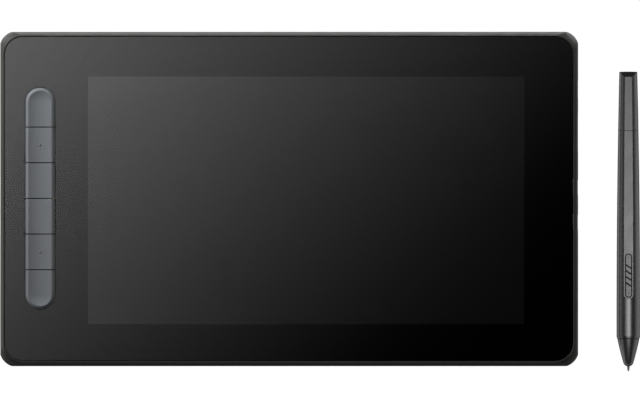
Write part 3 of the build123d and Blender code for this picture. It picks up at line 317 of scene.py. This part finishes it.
def set_floor():
    """A pale floor that glows evenly and isn't mirrored in the pieces."""
    floor = square("floor", FLOOR_SIZE / 2, 0.0)
    material = grained("floor", FLOOR_COLOUR, tone_share=0.02, tone_size=0.3, roughness=0.9,
                       specular=0.1)
    shader = shader_of(material)
    shader.inputs["Emission Color"].default_value = WHITE
    shader.inputs["Emission Strength"].default_value = FLOOR_GLOW
    floor.data.materials.append(material)
    floor.visible_glossy = False


# Materials

def new_material(name):
    """A material with one shader, its nodes and the shader."""
    material = bpy.data.materials.new(name)
    material.use_nodes = True
    tree = material.node_tree
    tree.nodes.clear()
    output = add(tree, "ShaderNodeOutputMaterial")
    shader = add(tree, "ShaderNodeBsdfPrincipled")
    tree.links.new(shader.outputs[0], output.inputs["Surface"])
    return material, tree, shader


def shader_of(material):
    """The one shader of a finish."""
    return next(node for node in material.node_tree.nodes if node.type == "BSDF_PRINCIPLED")


def noise(tree, size, stretch):
    """Noise between 0 and 1 with marks of about the given size in metres, stretched by axis."""
    place = add(tree, "ShaderNodeTexCoord").outputs["Object"]
    place = add(tree, "ShaderNodeMapping", {"Vector": place, "Scale": stretch}).outputs[0]
    made = add(tree, "ShaderNodeTexNoise", {"Vector": place, "Scale": 1.0 / size,
                                            "Detail": NOISE_DETAIL})
    return made.outputs["Fac"]


def toned(colour, share):
    """The colour made lighter or darker by a share of itself."""
    return tuple(part * (1.0 + share) for part in colour) + (1.0,)


def grained(name, colour, tone_share=0.12, tone_size=0.02, roughness=0.5, roughness_share=0.12,
            grain_size=0.0004, grain_height=0.0, specular=0.5, metallic=0.0,
            stretch=(1.0, 1.0, 1.0)):
    """A finish with slow changes of tone, uneven gloss and a fine raised grain."""
    material, tree, shader = new_material(name)
    mixed = add(tree, "ShaderNodeMix", {"Factor": noise(tree, tone_size, stretch),
                                        MIX_LOW: toned(colour, -tone_share),
                                        MIX_HIGH: toned(colour, tone_share)},
                data_type="RGBA")
    tree.links.new(mixed.outputs[MIX_RESULT], shader.inputs["Base Color"])
    gloss = ramped(tree, noise(tree, tone_size * GLOSS_SIZE_SHARE, stretch), *GLOSS_SPAN,
                   roughness * (1.0 - roughness_share), roughness * (1.0 + roughness_share))
    tree.links.new(gloss, shader.inputs["Roughness"])
    shader.inputs["Specular IOR Level"].default_value = specular
    shader.inputs["Metallic"].default_value = metallic
    if grain_height > 0.0:
        bump = add(tree, "ShaderNodeBump", {"Height": noise(tree, grain_size, stretch),
                                            "Distance": grain_height, "Strength": 1.0})
        tree.links.new(bump.outputs[0], shader.inputs["Normal"])
    return material


def clear(name, colour, alpha, roughness, specular):
    """A see-through sheet: a thin reflecting skin over what lies below."""
    material = grained(name, colour, tone_share=0.2, roughness=roughness, roughness_share=0.05,
                       specular=specular)
    shader_of(material).inputs["Alpha"].default_value = alpha
    return material


FINISHES = {
    "housing": grained("housing", (0.0028, 0.0029, 0.0025), roughness=0.4,
                       roughness_share=0.06, grain_size=0.0003, grain_height=0.00001,
                       specular=0.12),
    "cover_glass": clear("cover_glass", (0.0001, 0.0001, 0.0001), alpha=0.46, roughness=0.06,
                         specular=0.62),
    "inner_frame": grained("inner_frame", (0.001, 0.001, 0.001), roughness=0.6,
                           grain_height=0.00002, specular=0.1),
    "adhesive": grained("adhesive", (0.001, 0.001, 0.001), roughness=0.8, specular=0.1),
    "black_print": grained("black_print", (0.0001, 0.0001, 0.0001), roughness=0.9,
                           specular=0.0),
    "clear_bond": clear("clear_bond", (0.0005, 0.0005, 0.0005), alpha=0.02, roughness=0.1,
                        specular=0.0),
    "display_panel": grained("display_panel", (0.0065, 0.0065, 0.0065), roughness=0.12,
                             specular=0.32),
    "optical_film": grained("optical_film", (0.75, 0.76, 0.78), roughness=0.35),
    "clear_acrylic": grained("clear_acrylic", (0.7, 0.73, 0.76), roughness=0.08),
    "led_strip": grained("led_strip", (0.6, 0.58, 0.45), tone_size=0.004, tone_share=0.4),
    "tray_metal": grained("tray_metal", (0.5, 0.5, 0.5), roughness=0.35, metallic=1.0,
                          stretch=(1.0, 30.0, 30.0), grain_height=0.000005),
    "circuit_board": grained("circuit_board", (0.006, 0.04, 0.018), tone_size=0.002,
                             tone_share=0.5, roughness=0.4),
    "foam": grained("foam", (0.02, 0.02, 0.021), roughness=0.95, grain_size=0.0008,
                    grain_height=0.0002, specular=0.1),
    "chip_black": grained("chip_black", (0.012, 0.012, 0.013), roughness=0.6,
                          grain_height=0.00001),
    "connector_plastic": grained("connector_plastic", (0.55, 0.52, 0.44)),
    "ribbon": grained("ribbon", (0.45, 0.2, 0.03), tone_size=0.0008, tone_share=0.3,
                      stretch=(0.05, 1.0, 1.0), roughness=0.3),
    "screw_steel": grained("screw_steel", (0.3, 0.3, 0.31), metallic=1.0, roughness=0.4,
                           grain_height=0.000005),
    "light_pipe": grained("light_pipe", (0.6, 0.62, 0.62), roughness=0.25),
    "socket_steel": grained("socket_steel", (0.45, 0.45, 0.46), metallic=1.0, roughness=0.3,
                            stretch=(1.0, 1.0, 20.0), grain_height=0.000004),
    "socket_tongue": grained("socket_tongue", (0.015, 0.015, 0.016), roughness=0.4),
    "edge_button": grained("edge_button", (0.02, 0.02, 0.019), roughness=0.45,
                           grain_height=0.00001, specular=0.4),
    "key_cap": grained("key_cap", (0.0152, 0.0163, 0.0174), grain_size=0.00025,
                       grain_height=0.000004, specular=0.12),
    "rubber_foot": grained("rubber_foot", (0.016, 0.016, 0.016), roughness=0.85,
                           grain_height=0.00003, specular=0.3),
    "pen_body": grained("pen_body", (0.0012, 0.0012, 0.0012), roughness=0.28,
                        roughness_share=0.04, grain_height=0.000005),
    "pen_strip": grained("pen_strip", (0.02, 0.02, 0.0205), roughness=0.45,
                         grain_height=0.000005, specular=0.3),
    "pen_rocker": grained("pen_rocker", (0.008, 0.008, 0.008), roughness=0.4,
                          grain_height=0.000005, specular=0.3),
    "pen_nib": grained("pen_nib", (0.02, 0.02, 0.021), grain_height=0.000005),
    "coil_copper": grained("coil_copper", (0.6, 0.25, 0.1), metallic=1.0, roughness=0.35,
                           tone_size=0.0004),
    "ferrite": grained("ferrite", (0.02, 0.02, 0.022), roughness=0.6, grain_height=0.00001),
}

# Near-black paint on the pieces that show through the gaps round the keys and the pen's rocker,
# in place of their own colours: painted shade that stands in for the shadow deep in these gaps
PAINTED_SHADE_FINISHES = {
    "key_switch_board": grained("painted_shade_key_board", (0.001, 0.001, 0.001), tone_size=0.002,
                                tone_share=0.5, roughness=0.7, specular=0.05),
    "key_board_screws": grained("painted_shade_screw", (0.002, 0.002, 0.002), roughness=0.6,
                                specular=0.05),
    "key_switches": grained("painted_shade_key_switch", (0.001, 0.001, 0.001), roughness=0.7,
                            specular=0.05),
    "pen_rocker_pin": grained("painted_shade_rocker_pin", (0.004, 0.004, 0.004), grain_height=0.000005,
                              specular=0.1),
    "pen_circuit_board": grained("painted_shade_pen_board", (0.001, 0.0015, 0.0012), tone_size=0.002,
                                 tone_share=0.5, roughness=0.6, specular=0.1),
    "pen_chassis": grained("painted_shade_carrier", (0.001, 0.001, 0.001), roughness=0.7,
                           grain_height=0.00001, specular=0.05),
    "pen_side_switches": grained("painted_shade_switch", (0.001, 0.001, 0.001), roughness=0.7,
                                 specular=0.05),
}

# Near-black finish of the seam rings: painted shade for the shadow in the seams
SEAM_SHADE_FINISH = grained("painted_seam_shade", (0.0006, 0.0006, 0.0006), roughness=0.8, specular=0.05)


def dress_nodes():
    """Each CAD node's own slot is given its finish, or the painted shade of a piece seen through
    a gap.
    """
    for name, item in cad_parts.items():
        for slot in item.material_slots:
            finish = FINISHES[slot.material.name.split(".")[0]]
            slot.material = PAINTED_SHADE_FINISHES.get(name, finish)


# Extra pieces

def pen_seam_shade_ring(name, start, end, skin, flat, back):
    """Near-black ring in a seam of the pen, painted shade for the shadow in the gap, cut flat on
    top where the strip lies.
    """
    turns = [2 * math.pi * index / SEAM_SIDES for index in range(SEAM_SIDES)]
    outer = [flat / math.cos(turn) if skin * math.cos(turn) > flat else skin for turn in turns]
    inner = [back] * SEAM_SIDES
    rows = ((outer, start), (outer, end), (inner, end), (inner, start))
    points = [(radius * math.sin(turn), -radius * math.cos(turn), height)
              for radii, height in rows for radius, turn in zip(radii, turns)]
    faces = []
    for row in range(len(rows)):
        this = row * SEAM_SIDES
        after = (row + 1) % len(rows) * SEAM_SIDES
        for index in range(SEAM_SIDES):
            beside = (index + 1) % SEAM_SIDES
            faces.append((this + index, this + beside, after + beside, after + index))
    mesh = bpy.data.meshes.new(name)
    mesh.from_pydata(points, [], faces)
    mesh.materials.append(SEAM_SHADE_FINISH)
    ring = bpy.data.objects.new(name, mesh)
    bpy.context.scene.collection.objects.link(ring)
    ring.matrix_world = (Matrix.Translation(PEN_PLACE)
                         @ Matrix.Rotation(math.radians(-90.0 - PEN_LEAN), 4, "X"))
    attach(ring, "pen")


set_camera()
set_world()
set_panel()
set_strip_light()
set_softbox()
set_flag()
set_floor()
dress_nodes()
pen_seam_shade_ring("pen_cap_seam_shade_ring", *CAP_SEAM, CAP_SEAM_SKIN, CAP_SEAM_FLAT, CAP_SEAM_BACK)
pen_seam_shade_ring("pen_nose_seam_shade_ring", *NOSE_SEAM, NOSE_SEAM_SKIN, NOSE_SEAM_SKIN, NOSE_SEAM_BACK)
